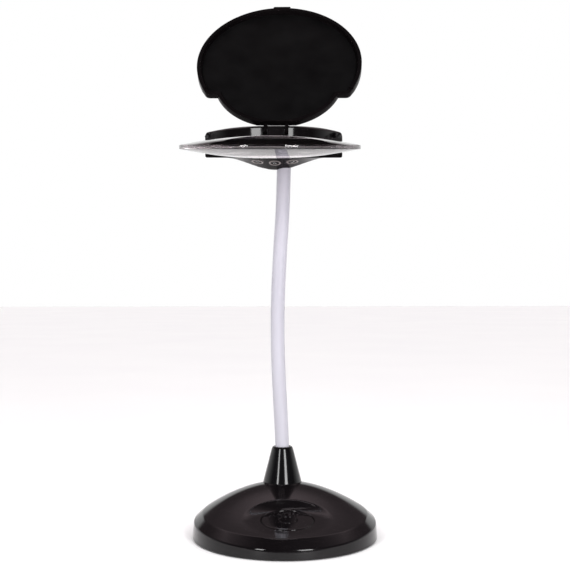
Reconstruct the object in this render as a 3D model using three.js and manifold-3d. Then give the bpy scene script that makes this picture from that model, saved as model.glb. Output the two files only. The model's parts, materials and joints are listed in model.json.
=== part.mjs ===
// Desk magnifier lamp: a round weighted base with a push button, a flexible gooseneck,
// and a lens head with three small lights and a lid that folds down over the lens.
// Millimetres, +Z up. The origin is the centre of the base's underside, and the front is -Y.
import * as THREE from 'three';
import { mergeVertices } from 'three/addons/utils/BufferGeometryUtils.js';
import Module from 'manifold-3d';

const wasm = await Module();
wasm.setup();

// ---------------------------------------------------------------- driving dimensions
const GAP = 0.3;               // clearance between neighbouring pieces
const WALL = 2.2;              // moulded wall thickness

// base cover: a slanted rim, a chamfer, and an off-centre dome on a tilted crease
const BASE_R = 68.6;           // footprint radius
const COVER_BOTTOM = 0.7;      // lower edge of the cover above the table
const RIM_R = 67.7;            // radius at the top of the rim
const RIM_Z = 12.7;            // rim top at the middle of the base
const RIM_SLOPE = 0.075;       // rim top rises towards the rear
const CREASE_R = 61.4;         // inner edge of the chamfer
const CREASE_Z = 18.2;
const CREASE_SLOPE = 0.07;
const DOME_RISE = 11.8;        // dome height above the crease plane at the middle
const DOME_SLOPE = 0.24;       // how that height grows towards the rear
const DOME_FRONT = 0.0017;     // and how it levels off towards the front
const DOME_POWER = 2.27;       // a ball would have 2; this is a little fuller

// button and the scooped dish around it
const BUTTON_AT = [0, -29, 19];
const BUTTON_TILT = THREE.MathUtils.degToRad(7.5);
const BUTTON_R = 18.9;
const BUTTON_TRAVEL = 1.5;
const PLUNGER = 3.4;           // length of the button's stem below its face
const DISH_R = BUTTON_R + 0.35;
const DISH_DEPTH = 14;         // the cutter's height, taller than any wall of the dish
const DISH_SIDE_RUN = 38;      // how far the dish spreads over that height at the sides
const DISH_REAR_RUN = 7.4;     // and at the steep rear wall
const DISH_TURN = 1.2;         // how quickly one gives way to the other

// inside the base
const PLATE_LOW = 1.9;         // steel floor plate
const PLATE_HIGH = 3.6;
const PAD_R = 51;
const BOSS_R = 54.5;           // circle of the four screw posts
const BOSS_ANGLES = [45, 135, 225, 315].map(THREE.MathUtils.degToRad);
const POST_R = 3.2;
const SCREW_HEAD = 1.2;
const WEIGHT_R = 50;
const WEIGHT_FRONT_TOP = 9.6;
const WEIGHT_REAR_TOP = 14.5;
const SWITCH_POCKET = 16;      // half width of the room for the switch
const BOARD_THICK = 1.6;
const JACK_R = 4.2;
const JACK_Z = 8.2;
const JACK_LENGTH = 12;

// gooseneck
const NECK_FOOT = [0, 31.6];   // where the collar stands on the dome
const NECK_R = 5.4;            // sleeve
const CORE_R = 3.0;            // armoured core inside the sleeve
const SLEEVE_BORE = 3.3;
const JOINT_COUNT = 6;
const NECK_START = 0.09;       // first pivot, as a share of the neck's length
const NECK_STEP = 0.145;
const NECK_END = 0.985;
const BEND_MAX = THREE.MathUtils.degToRad(25);
const COLLAR_R = 15.0;
const COLLAR_TOP_R = 8.0;
const COLLAR_FOOT_Z = 31;      // where the cone would end if the dome didn't cut it off
const SPIGOT_R = 6.9;
const SPIGOT_LOW = 24.9;
const STUB_BORE = 4.0;
const COLLAR_TOP_Z = 62.3;

// head: its frame sits at the lens centre, nose down, turned a little to the left
const LENS_AT = [-13.4, -44.8, 284.3];
const HEAD_PITCH = THREE.MathUtils.degToRad(7.9);
const HEAD_ROLL = THREE.MathUtils.degToRad(0.4);
const HEAD_YAW = THREE.MathUtils.degToRad(-6.5);
const LENS_R = 63.5;           // a standard 127 mm lens
const LENS_EDGE = 2.8;         // thickness at the rim
const LENS_SAG = 6.7;          // bulge of each face

// housing: a crescent round the rear of the lens (head frame)
const SHELL_Y = 28.2;          // centre of the outer wall's arc
const SHELL_R = 52.4;
const SHELL_FRONT = 39.2;      // front faces of the two ends
const SHELL_TOP = 10.7;        // top at the ends
const SHELL_TOP_REAR = 16.9;   // top at the rear
const SHELL_BOTTOM = -7.9;
const WELL_Y = 15.6;           // centre of the well that the lid's rear drops into
const WELL_R = 52.4;
const WELL_FLOOR = 6.5;
const VIEW_R = 58.0;           // clear aperture of the upper shell
const BROW_R = 103.7;          // inner edge of the lower shell, a shallow arc
const BROW_Y = 49.0;
const POD_DEPTH = 9.6;         // how far the lamp pod hangs below the shell
const POD_HALF_WIDTH = 42;
const POD_LOW_Y = 69.6;        // the pod's lowest line
const POD_SLOPE = Math.tan(THREE.MathUtils.degToRad(23.4));
const LED_COUNT = 3;
const LED_PITCH = 13.3;
const LED_R = 4.8;
const LED_Y = 57.1;
const LED_BOARD_Z = 4.9;
const LENS_ROOM = 0.5;         // slot for the lens's rim in the two shells
const HEAD_POST_R = 3.2;
const HEAD_SCREW_Z = -5.3;     // where the screw heads bear
const ACROSS = [-80, 80];
const FAR = 60;                // beyond everything in the head

// lid (head frame, closed) and its hinge
const HINGE_Y = 71.2;
const HINGE_Z = 12.6;
const LID_OPEN = THREE.MathUtils.degToRad(133.2);
const LID_R = 66.6;
const LID_TOP = 13.5;
const LID_UNDER = 11.1;
const LID_RIM_LOW = 7.4;
const LID_RIM_WIDTH = 3.0;
const LID_FRONT_OF_SHELL = 35.2;
const LID_REAR_R = 51.6;
const LID_REAR_RIM_LOW = 8.6;
const LINER_INSET = LID_RIM_WIDTH + 1.2;
const LID_BACK_GAP = 6.2;      // straight rear edge of the lid in front of the pin
const ARM_X = 8.2;
const ARM_WIDTH = 2.5;
const SLOT_WIDTH = 3.3;
const PIN_R = 1.2;
const PIN_HALF = 13.4;
const EYE_R = 3.2;
const BUFFER_R = 1.3;
const BUFFER_X = 49.2;
const BUFFER_Z = 7.6;
const BUFFER_LENGTH = SHELL_FRONT - LID_FRONT_OF_SHELL - GAP;

// ---------------------------------------------------------------- materials
const paint = (color, roughness, metalness = 0) =>
  new THREE.MeshStandardMaterial({ color, roughness, metalness });
const gloss = paint(0x17161a, 0.12);
const satin = paint(0x1d1c20, 0.35);
const sleeveWhite = paint(0xd9d6e2, 0.45);
const steel = paint(0xb4b6ba, 0.3, 1);
const iron = paint(0x4c4d50, 0.6, 1);
const brass = paint(0xb08d4a, 0.35, 1);
const acrylic = new THREE.MeshStandardMaterial({
  color: 0xf1e6ea, roughness: 0.05, transparent: true, opacity: 0.35,
});
const board = paint(0x1f5a35, 0.5);
const rubber = paint(0x151515, 0.85);
const lampWhite = paint(0xf2efe2, 0.3);
const bezelGrey = paint(0x8d8684, 0.3);

// ---------------------------------------------------------------- helpers
const object = new THREE.Group();

// A geometry as one indexed surface with shared vertices, no flat triangles, faces outward.
function weld(geometry) {
  const bare = geometry.clone();
  bare.deleteAttribute('normal');
  bare.deleteAttribute('uv');
  const merged = mergeVertices(bare, 1e-4);
  const at = merged.attributes.position;
  const index = [];
  let volume = 0;
  const [a, b, c] = [new THREE.Vector3(), new THREE.Vector3(), new THREE.Vector3()];
  for (let i = 0; i < merged.index.count; i += 3) {
    const [i0, i1, i2] = [0, 1, 2].map((k) => merged.index.getX(i + k));
    if (i0 === i1 || i1 === i2 || i2 === i0) continue;
    index.push(i0, i1, i2);
    a.fromBufferAttribute(at, i0);
    b.fromBufferAttribute(at, i1);
    c.fromBufferAttribute(at, i2);
    volume += a.dot(b.cross(c));
  }
  if (volume < 0) index.reverse();
  merged.setIndex(index);
  return merged;
}

function solid(geometry) {
  const welded = weld(geometry);
  return new wasm.Manifold(new wasm.Mesh({
    numProp: 3,
    vertProperties: new Float32Array(welded.attributes.position.array),
    triVerts: new Uint32Array(welded.index.array),
  }));
}

function surface(body) {
  const mesh = body.getMesh();
  const geometry = new THREE.BufferGeometry();
  geometry.setAttribute('position', new THREE.Float32BufferAttribute(mesh.vertProperties, 3));
  geometry.setIndex([...mesh.triVerts]);
  return geometry;
}

// Adds one named sub-part; shape is a geometry or a manifold solid.
function piece(name, shape, material, parent = object) {
  const geometry = shape.isBufferGeometry ? weld(shape) : surface(shape);
  geometry.computeVertexNormals();
  const mesh = new THREE.Mesh(geometry, material);
  mesh.name = name;
  parent.add(mesh);
  return mesh;
}

// A turned piece about +Z from [radius, z] points that start and end on the axis or close.
function turned(points, sides = 32) {
  const profile = points.map(([r, z]) => new THREE.Vector2(r, z));
  return new THREE.LatheGeometry(profile, sides).rotateX(Math.PI / 2);
}

function ring(inner, outer, low, high, sides = 32) {
  return turned([[inner, low], [outer, low], [outer, high], [inner, high], [inner, low]], sides);
}

function rod(radius, low, high, sides = 24) {
  return turned([[0, low], [radius, low], [radius, high], [0, high]], sides);
}

function block(x, y, z) {
  return new THREE.BoxGeometry(x[1] - x[0], y[1] - y[0], z[1] - z[0])
    .translate((x[0] + x[1]) / 2, (y[0] + y[1]) / 2, (z[0] + z[1]) / 2);
}

function plate(shape, low, high, curveSegments = 12) {
  return new THREE.ExtrudeGeometry(shape, {
    depth: high - low, bevelEnabled: false, curveSegments,
  }).translate(0, 0, low);
}

function hexNut(bore, corner, low, high) {
  const shape = new THREE.Shape();
  for (let i = 0; i < 6; i += 1) {
    const a = i * Math.PI / 3;
    shape[i ? 'lineTo' : 'moveTo'](corner * Math.cos(a), corner * Math.sin(a));
  }
  shape.closePath();
  shape.holes.push(new THREE.Path().absarc(0, 0, bore, 0, Math.PI * 2, true));
  return plate(shape, low, high);
}

function screw(length, headR, shankR) {
  return turned([[0, -length], [shankR, -length], [shankR, -SCREW_HEAD],
    [headR, -SCREW_HEAD], [headR, 0],
    [0.8, 0], [0.6, -0.6], [0, -0.6]], 10);
}

// ---------------------------------------------------------------- base cover
function domeZ(r, y, drop) {
  const height = DOME_RISE + DOME_SLOPE * y + DOME_FRONT * Math.min(0, y) ** 2;
  return CREASE_Z + CREASE_SLOPE * y + height * (1 - (r / CREASE_R) ** DOME_POWER) - drop;
}

// The cover's outside, or with a wall taken off, its inside.
function coverSolid(wall) {
  const low = wall ? COVER_BOTTOM - 1 : COVER_BOTTOM;
  const rings = [
    [0, () => low],
    [BASE_R - wall, () => low],
    [RIM_R - wall, (y) => RIM_Z + RIM_SLOPE * y - wall * 0.6],
    [CREASE_R - wall * 0.5, (y) => CREASE_Z + CREASE_SLOPE * y - wall],
  ];
  for (const r of [50, 38, 25, 12, 0]) rings.push([r, (y) => domeZ(r, y, wall)]);
  const lathe = turned(rings.map(([r], i) => [r, i]), 48);
  const at = lathe.attributes.position;
  for (let i = 0; i < at.count; i += 1) {
    at.setZ(i, rings[Math.round(at.getZ(i))][1](at.getY(i)));
  }
  return solid(lathe);
}

// The dish's cutter: a bowl whose wall is steep at the rear and shallow elsewhere.
function dishSolid(extra) {
  const steps = [0, 0.25, 0.5, 0.75, 1];
  const bottom = extra > 0 ? 0 : -8;
  const profile = [[0, bottom], [DISH_R + extra, bottom]];
  for (const t of steps) profile.push([DISH_R + extra, DISH_DEPTH * t * t]);
  profile.push([0, DISH_DEPTH]);
  const lathe = turned(profile, 36);
  const at = lathe.attributes.position;
  for (let i = 0; i < at.count; i += 1) {
    const [x, y, z] = [at.getX(i), at.getY(i), at.getZ(i)];
    const r = Math.hypot(x, y);
    if (r < 1 || z <= 0) continue;
    const sideways = (1 - Math.max(0, y / r)) ** DISH_TURN;
    const run = THREE.MathUtils.lerp(DISH_REAR_RUN, DISH_SIDE_RUN, sideways);
    const k = (r + run * Math.sqrt(z / DISH_DEPTH)) / r;
    at.setXY(i, x * k, y * k);
  }
  return solid(lathe.translate(0, 0, -extra));
}

const buttonFrame = new THREE.Group();
buttonFrame.position.set(...BUTTON_AT);
buttonFrame.rotation.x = BUTTON_TILT;
buttonFrame.updateMatrixWorld(true);
object.add(buttonFrame);

const moved = (body, frame) => body.transform(frame.matrixWorld.elements);

const bossAt = BOSS_ANGLES.map((a) => [BOSS_R * Math.cos(a), BOSS_R * Math.sin(a)]);
const outside = coverSolid(0);
{
  let cover = outside.subtract(coverSolid(WALL).subtract(moved(dishSolid(WALL), buttonFrame)));
  for (const [x, y] of bossAt) {
    const post = solid(rod(POST_R, PLATE_HIGH + GAP, 30, 16).translate(x, y, 0))
      .intersect(outside);
    const hole = solid(rod(1.5, 0, 11.5, 12).translate(x, y, 0));
    cover = cover.add(post).subtract(hole);
  }
  cover = cover.subtract(moved(dishSolid(0), buttonFrame));
  const spigot = solid(rod(7.3, 20, 40, 32).translate(...NECK_FOOT, 0));
  const jackHole = solid(rod(JACK_R + GAP, -20, 20, 24).rotateX(Math.PI / 2)
    .translate(0, BASE_R, JACK_Z));
  cover = cover.subtract(spigot).subtract(jackHole);
  piece('base_cover', cover, gloss);
}

// ---------------------------------------------------------------- inside the base
{
  let floor = solid(rod(BASE_R - WALL - 1.4, PLATE_LOW, PLATE_HIGH, 64));
  for (const [x, y] of bossAt) {
    floor = floor.subtract(solid(rod(1.7, 0, 10, 12).translate(x, y, 0)));
  }
  piece('base_plate', floor, steel);
}
piece('non_slip_pad', rod(PAD_R, 0, PLATE_LOW - GAP, 48), rubber);
bossAt.forEach(([x, y], i) => {
  const bolt = piece(`base_screw_${i + 1}`, screw(8, 2.8, 1.25), steel);
  bolt.position.set(x, y, PLATE_LOW - 0.1 - SCREW_HEAD);
  bolt.rotation.x = Math.PI;
});

const INSIDE_LOW = PLATE_HIGH + GAP;
{
  const front = solid(rod(WEIGHT_R, INSIDE_LOW, WEIGHT_FRONT_TOP, 48));
  const rearHalf = solid(rod(WEIGHT_R, INSIDE_LOW, WEIGHT_REAR_TOP, 48))
    .intersect(solid(block([-60, 60], [-2, 60], [0, 20])));
  const pocket = solid(block([-SWITCH_POCKET, SWITCH_POCKET], [-45, -13], [0, 20]));
  const jackRoom = solid(block([-8, 8], [44, 60], [0, 20]));
  piece('base_weight', front.add(rearHalf).subtract(pocket).subtract(jackRoom), iron);
}

piece('switch_board', block([-14, 14], [-43, -15], [INSIDE_LOW, INSIDE_LOW + BOARD_THICK]), board);
const SWITCH_TOP = BUTTON_AT[2] - PLUNGER - BUTTON_TRAVEL - 2 * GAP;
piece('push_switch', block([-4, 4], [-4, 4], [INSIDE_LOW + BOARD_THICK + GAP, SWITCH_TOP])
  .translate(BUTTON_AT[0], BUTTON_AT[1] + 1.6, 0), satin);

{
  const body = solid(rod(JACK_R, 0, JACK_LENGTH, 24))
    .subtract(solid(rod(JACK_R - 1, 2, JACK_LENGTH + 1, 24)));
  const jack = piece('power_inlet', body, satin);
  jack.rotation.x = -Math.PI / 2;
  jack.position.set(0, BASE_R - JACK_LENGTH - 0.4, JACK_Z);
  const pin = piece('inlet_pin', rod(1.0, 2 + GAP, JACK_LENGTH - 1, 12), brass);
  pin.rotation.x = -Math.PI / 2;
  pin.position.copy(jack.position);
}

// ---------------------------------------------------------------- power button
{
  const under = -WALL - GAP;
  const cap = [[0, 0], [6.0, 0], [6.2, -0.35], [6.7, -0.35], [6.9, 0], [BUTTON_R - 0.6, -0.1],
    [BUTTON_R, -0.7], [BUTTON_R, under], [BUTTON_R + 1.5, under], [BUTTON_R + 1.5, under - 1.2],
    [BUTTON_R - 2, under - 1.2], [BUTTON_R - 2, -2], [3, -2], [3, -PLUNGER], [0, -PLUNGER]];
  piece('power_button', turned(cap, 36), gloss, buttonFrame);
}

// ---------------------------------------------------------------- neck collar and its nut
const neckFoot = new THREE.Group();
neckFoot.position.set(...NECK_FOOT, 0);
object.add(neckFoot);
{
  const cone = solid(turned([[0, COLLAR_FOOT_Z], [COLLAR_R, COLLAR_FOOT_Z],
    [COLLAR_R, COLLAR_FOOT_Z + 5], [COLLAR_TOP_R + 0.9, COLLAR_TOP_Z - 3],
    [COLLAR_TOP_R - 0.4, COLLAR_TOP_Z - 0.8], [NECK_R + 0.8, COLLAR_TOP_Z],
    [0, COLLAR_TOP_Z]], 28));
  const dome = outside.translate(-NECK_FOOT[0], -NECK_FOOT[1], 0.1);
  const spigot = solid(rod(SPIGOT_R, SPIGOT_LOW, COLLAR_FOOT_Z + 9, 28));
  const bore = solid(turned([[0, SPIGOT_LOW - 1], [STUB_BORE, SPIGOT_LOW - 1],
    [STUB_BORE, COLLAR_TOP_Z - 12], [NECK_R + GAP, COLLAR_TOP_Z - 12],
    [NECK_R + GAP, COLLAR_TOP_Z + 1], [0, COLLAR_TOP_Z + 1]], 28));
  piece('neck_collar', cone.subtract(dome).add(spigot).subtract(bore), satin, neckFoot);
}
piece('collar_nut', hexNut(7.2, 11, 26.4, 29.8), steel, neckFoot);

// ---------------------------------------------------------------- gooseneck
// The neck leans a little to the left half way up and comes back under the head.
const neckLine = new THREE.CatmullRomCurve3([
  [0, 31.6, 58], [-0.7, 31.3, 76], [-2.7, 30.8, 115], [-3.9, 30.1, 162], [-2.1, 29.1, 209],
  [0.4, 28.2, 255], [1.4, 27.8, 293],
].map((p) => new THREE.Vector3(...p)));
const pivots = [neckLine.getPointAt(0)];
for (let i = 0; i < JOINT_COUNT; i += 1) {
  pivots.push(neckLine.getPointAt(NECK_START + NECK_STEP * i));
}
pivots.push(neckLine.getPointAt(NECK_END));

// A sleeve and its core between two pivots, each end cut back so that the joint can bend.
function neckLink(name, from, to, freeStart, freeEnd) {
  const frame = new THREE.Group();
  const span = new THREE.Vector3().subVectors(to, from);
  frame.position.copy(from);
  frame.quaternion.setFromUnitVectors(new THREE.Vector3(0, 0, 1), span.clone().normalize());
  object.add(frame);
  const length = span.length();
  const edge = NECK_R * Math.sin(BEND_MAX) / (1 + Math.cos(BEND_MAX)) + 0.15;
  const [a, b] = [freeStart ? edge : 0, freeEnd ? length - edge : length];
  piece(`${name}_sleeve`, ring(SLEEVE_BORE, NECK_R, a, b, 16), sleeveWhite, frame);
  const ball = 0.2;
  const tip = (end, way) => [0.33, 0.67, 1].map((t) => {
    const turn = t * Math.PI / 2;
    return [CORE_R * Math.sin(turn), end + way * (ball + CORE_R * (1 - Math.cos(turn)))];
  });
  const foot = freeStart ? [[0, ball], ...tip(0, 1)] : [[0, 0], [CORE_R, 0]];
  const head = freeEnd ? [...tip(length, -1).reverse(), [0, length - ball]]
    : [[CORE_R, length], [0, length]];
  piece(`${name}_core`, turned([...foot, ...head], 10), steel, frame);
  return frame;
}
neckLink('neck_root', pivots[0], pivots[1], false, true);
for (let i = 1; i < JOINT_COUNT; i += 1) {
  neckLink(`neck_${i}`, pivots[i], pivots[i + 1], true, true);
}
neckLink('neck_end', pivots[JOINT_COUNT], pivots[JOINT_COUNT + 1], true, false);

// ---------------------------------------------------------------- head frame and lens
const head = new THREE.Group();
head.position.set(...LENS_AT);
head.rotation.set(HEAD_PITCH, HEAD_ROLL, HEAD_YAW, 'ZYX');
object.add(head);
head.updateMatrixWorld(true);
const headInverse = head.matrixWorld.clone().invert();
const toHead = (world) => new THREE.Vector3(...world).applyMatrix4(headInverse);

// Both faces of the lens are shallow arcs; grow makes the room that the shells leave round it.
function lensProfile(grow) {
  const radii = [0, 20, 40, 54, LENS_R];
  const half = radii.map((r) => [r, LENS_EDGE / 2 + grow + LENS_SAG * (1 - (r / LENS_R) ** 2)]);
  half[half.length - 1][0] += grow;
  return [...half.map(([r, z]) => [r, -z]), ...half.slice().reverse()];
}
piece('lens', turned(lensProfile(0), 60), acrylic, head);

// ---------------------------------------------------------------- housing
const disc = (radius, y, low, high, sides = 60) => rod(radius, low, high, sides)
  .translate(0, y, 0);

// The housing's plan: the part of a disc behind its two front faces, less an inset wall.
function crescent(inset, low, high) {
  return solid(disc(SHELL_R - inset, SHELL_Y, low, high))
    .intersect(solid(block(ACROSS, [SHELL_FRONT + inset, 100], [low - 1, high + 1])));
}

// Height of the housing's underside: flat at the ends, swelling into the lamp pod.
function underside(x, y) {
  const across = Math.abs(x) < POD_HALF_WIDTH
    ? Math.cos(Math.PI * x / (2 * POD_HALF_WIDTH)) ** 2 : 0;
  const back = POD_LOW_Y - y;
  const along = back > 0 ? Math.max(0, 1 - back * POD_SLOPE / POD_DEPTH)
    : 1 - (back / 18) ** 2;
  return SHELL_BOTTOM - POD_DEPTH * across * along;
}

// Everything below the underside, as a block with a shaped top.
function belowPod(lift) {
  const size = [112, 50];
  const form = new THREE.BoxGeometry(size[0], size[1], 1, 16, 8, 1)
    .translate(0, SHELL_FRONT - 2 + size[1] / 2, 0);
  const at = form.attributes.position;
  for (let i = 0; i < at.count; i += 1) {
    const top = underside(at.getX(i), at.getY(i)) + lift;
    at.setZ(i, at.getZ(i) > 0 ? top : -40);
  }
  return solid(form);
}

// Slanted block above the housing's top, which rises towards the rear.
function aboveTop(drop) {
  const slope = Math.atan2(SHELL_TOP_REAR - SHELL_TOP, SHELL_Y + SHELL_R - SHELL_FRONT);
  return solid(block(ACROSS, [-20, 80], [0, 40]).rotateX(slope)
    .translate(0, SHELL_FRONT, SHELL_TOP - drop));
}

const lensRoom = solid(turned(lensProfile(LENS_ROOM), 60));
const neckTop = pivots[JOINT_COUNT + 1];
const inWorld = (shape) => shape.rotateX(-HEAD_PITCH)
  .translate(...toHead(neckTop.toArray()).toArray());
const neckHole = solid(inWorld(rod(NECK_R + 0.5, -14, 8, 24)));
const nutRoom = solid(inWorld(rod(7.6, -3.6, 0.4, 24)));
const screwAt = [[-38.5, 57], [38.5, 57], [-20, 73.2], [22, 72.4]];
const posts = (radius, low, high) => screwAt
  .map(([x, y]) => solid(rod(radius, low, high, 16).translate(x, y, 0)));
const HOLLOW_R = LENS_R + 2.4;

{
  let upper = crescent(0, 0.15, 20).subtract(aboveTop(0));
  const hollow = crescent(WALL, -1, 2.0).subtract(solid(disc(HOLLOW_R, 0, -2, 4)));
  const tall = crescent(WALL, -1, FAR).subtract(aboveTop(WALL))
    .subtract(solid(disc(WELL_R + WALL, WELL_Y, -2, FAR)))
    .subtract(solid(block([-16, 16], [0, 100], [-3, FAR])));
  upper = upper.subtract(hollow).subtract(tall);
  for (const post of posts(HEAD_POST_R, 0.15, 9)) upper = upper.add(post);
  for (const hole of posts(1.1, -1, 7.5)) upper = upper.subtract(hole);
  upper = upper.subtract(solid(disc(VIEW_R, 0, -1, FAR))).subtract(lensRoom)
    .subtract(solid(disc(WELL_R, WELL_Y, WELL_FLOOR, FAR)));
  for (const side of [-1, 1]) {
    const middle = side * ARM_X;
    upper = upper.subtract(solid(block([middle - SLOT_WIDTH / 2, middle + SLOT_WIDTH / 2],
      [HINGE_Y - 6.5, HINGE_Y + 5.6], [HINGE_Z - EYE_R - 0.5, FAR])));
  }
  const pinHole = solid(rod(PIN_R + 0.1, -14, 14, 16).rotateY(Math.PI / 2)
    .translate(0, HINGE_Y, HINGE_Z));
  piece('housing_top', upper.subtract(pinHole), gloss, head);
}

// Each lamp sits square to the pod's face, with +Z of its seat pointing into the pod.
function lampSeat(x) {
  const seat = new THREE.Group();
  const step = 0.5;
  const slopeX = (underside(x + step, LED_Y) - underside(x - step, LED_Y)) / (2 * step);
  const slopeY = (underside(x, LED_Y + step) - underside(x, LED_Y - step)) / (2 * step);
  seat.position.set(x, LED_Y, underside(x, LED_Y));
  seat.quaternion.setFromUnitVectors(new THREE.Vector3(0, 0, 1),
    new THREE.Vector3(-slopeX, -slopeY, 1).normalize());
  head.add(seat);
  seat.updateMatrix();
  return seat;
}
const seats = [];
for (let i = 0; i < LED_COUNT; i += 1) seats.push(lampSeat((i - (LED_COUNT - 1) / 2) * LED_PITCH));

{
  const brow = solid(disc(BROW_R, BROW_Y - BROW_R, -FAR, FAR, 120));
  let lower = crescent(0, -30, -0.15).subtract(belowPod(0)).subtract(brow);
  const hollow = crescent(WALL, -30, 1).subtract(belowPod(WALL))
    .subtract(solid(disc(BROW_R + WALL, BROW_Y - BROW_R, -FAR, FAR, 120)))
    .subtract(solid(turned(lensProfile(LENS_ROOM + WALL), 60)));
  lower = lower.subtract(hollow);
  for (const post of posts(HEAD_POST_R, -13, -0.15)) {
    lower = lower.add(post.subtract(belowPod(0)));
  }
  for (const hole of posts(1.5, -30, 1)) lower = lower.subtract(hole);
  for (const hole of posts(2.9, -30, HEAD_SCREW_Z)) lower = lower.subtract(hole);
  lower = lower.subtract(lensRoom).subtract(neckHole).subtract(nutRoom);
  for (const seat of seats) {
    const hole = solid(rod(LED_R + 0.1, -6, 6, 24)).transform(seat.matrix.elements);
    lower = lower.subtract(hole);
  }
  piece('housing_bottom', lower, gloss, head);
}

// ---------------------------------------------------------------- lamps and wiring board
const middleSeat = seats[(LED_COUNT - 1) / 2];
piece('led_board', block([-15.6, 15.6], [-2.6, 3.4], [LED_BOARD_Z, LED_BOARD_Z + 1.2]), board,
  middleSeat);
const boardNormal = new THREE.Vector3(0, 0, 1).applyQuaternion(middleSeat.quaternion);
seats.forEach((seat, i) => {
  const up = new THREE.Vector3(0, 0, 1).applyQuaternion(seat.quaternion);
  const below = new THREE.Vector3().subVectors(middleSeat.position, seat.position)
    .dot(boardNormal) + LED_BOARD_Z;
  const top = below / up.dot(boardNormal) - 0.6;
  piece(`led_${i + 1}`, turned([[0, 2.1], [0.9, 2.2], [1.6, 2.7], [1.75, top], [0, top]], 16),
    lampWhite, seat);
  piece(`led_bezel_${i + 1}`, turned([[3.1, 0.5], [3.9, -0.1], [LED_R - 0.4, -0.1],
    [LED_R - 0.1, 0.2], [LED_R - 0.1, 2.3], [3.1, 2.3], [3.1, 0.5]], 18), bezelGrey, seat);
  piece(`led_window_${i + 1}`, rod(2.95, 1.0, 1.9, 20), acrylic, seat);
});

// ---------------------------------------------------------------- fastenings of the head
screwAt.forEach(([x, y], i) => {
  const bolt = piece(`housing_screw_${i + 1}`, screw(12, 2.5, 1.0), steel, head);
  bolt.position.set(x, y, HEAD_SCREW_Z - 0.1 - SCREW_HEAD);
  bolt.rotation.x = Math.PI;
});
piece('neck_nut', hexNut(NECK_R + 0.2, 7.4, -1.2, 1.6)
  .translate(neckTop.x, neckTop.y, neckTop.z - 2.0), steel);

// ---------------------------------------------------------------- hinge and lid
piece('hinge_pin', rod(PIN_R, -PIN_HALF, PIN_HALF, 16).rotateY(Math.PI / 2)
  .translate(0, HINGE_Y, HINGE_Z), steel, head);

const lid = new THREE.Group();
lid.position.set(0, HINGE_Y, HINGE_Z);
lid.rotation.x = -LID_OPEN;
head.add(lid);
{
  const front = solid(rod(LID_R, LID_RIM_LOW, LID_TOP, 72))
    .intersect(solid(block(ACROSS, [-80, LID_FRONT_OF_SHELL], [0, FAR])));
  const tab = solid(block([-7.2, 7.2], [-LID_R - 1.3, -60], [LID_RIM_LOW, LID_TOP]));
  const recess = solid(rod(LID_R - LID_RIM_WIDTH, -1, LID_UNDER, 72));
  const behind = solid(block(ACROSS, [LID_FRONT_OF_SHELL - LID_RIM_WIDTH, 90], [-1, FAR]));
  const rearRoom = solid(block(ACROSS, [LID_FRONT_OF_SHELL - 2 * LID_RIM_WIDTH, 90],
    [-1, LID_REAR_RIM_LOW]));
  const rearOutline = solid(disc(LID_REAR_R, WELL_Y, LID_REAR_RIM_LOW, LID_TOP, 72));
  const rearRecess = solid(disc(LID_REAR_R - LID_RIM_WIDTH, WELL_Y, -1, LID_UNDER, 72));
  const rear = rearOutline.subtract(rearRecess).intersect(behind)
    .add(solid(disc(LID_REAR_R, WELL_Y, LID_UNDER, LID_TOP, 72)))
    .subtract(solid(block([-16, 16], [HINGE_Y - LID_BACK_GAP, 90], [0, FAR])));
  let cover = front.add(tab).subtract(recess).subtract(rearRoom).add(rear);
  for (const side of [-1, 1]) {
    const x = [side * ARM_X - ARM_WIDTH / 2, side * ARM_X + ARM_WIDTH / 2];
    const arm = solid(block(x, [HINGE_Y - 12, HINGE_Y], [LID_UNDER, LID_TOP]));
    const eye = solid(rod(EYE_R, x[0], x[1], 20).rotateY(Math.PI / 2)
      .translate(0, HINGE_Y, HINGE_Z));
    cover = cover.add(arm).add(eye);
  }
  const bore = solid(rod(PIN_R + 0.15, -20, 20, 16).rotateY(Math.PI / 2)
    .translate(0, HINGE_Y, HINGE_Z));
  piece('lid_cover', cover.subtract(bore).translate(0, -HINGE_Y, -HINGE_Z), gloss, lid);
}
{
  const low = LID_UNDER - 0.45;
  const high = LID_UNDER - 0.1;
  const front = solid(rod(LID_R - LINER_INSET, low, high, 72))
    .intersect(solid(block(ACROSS, [-80, LID_FRONT_OF_SHELL - LINER_INSET], [0, FAR])));
  const rear = solid(disc(LID_REAR_R - LINER_INSET, WELL_Y, low, high, 72))
    .intersect(solid(block(ACROSS, [0, HINGE_Y - LID_BACK_GAP - 1.5], [0, FAR])));
  piece('lid_liner', front.add(rear).translate(0, -HINGE_Y, -HINGE_Z), satin, lid);
}
for (const side of [-1, 1]) {
  piece(side < 0 ? 'lid_buffer_left' : 'lid_buffer_right', rod(BUFFER_R, 0, BUFFER_LENGTH, 12)
    .rotateX(Math.PI / 2).translate(side * BUFFER_X, SHELL_FRONT - 0.02, BUFFER_Z), rubber, head);
}

export default object;
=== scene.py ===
"""Desk magnifier lamp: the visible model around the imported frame. Metres, +Z up, front is -Y."""
import json
import math

import bpy
import bmesh
import numpy as np
from mathutils import Matrix, Vector


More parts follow.
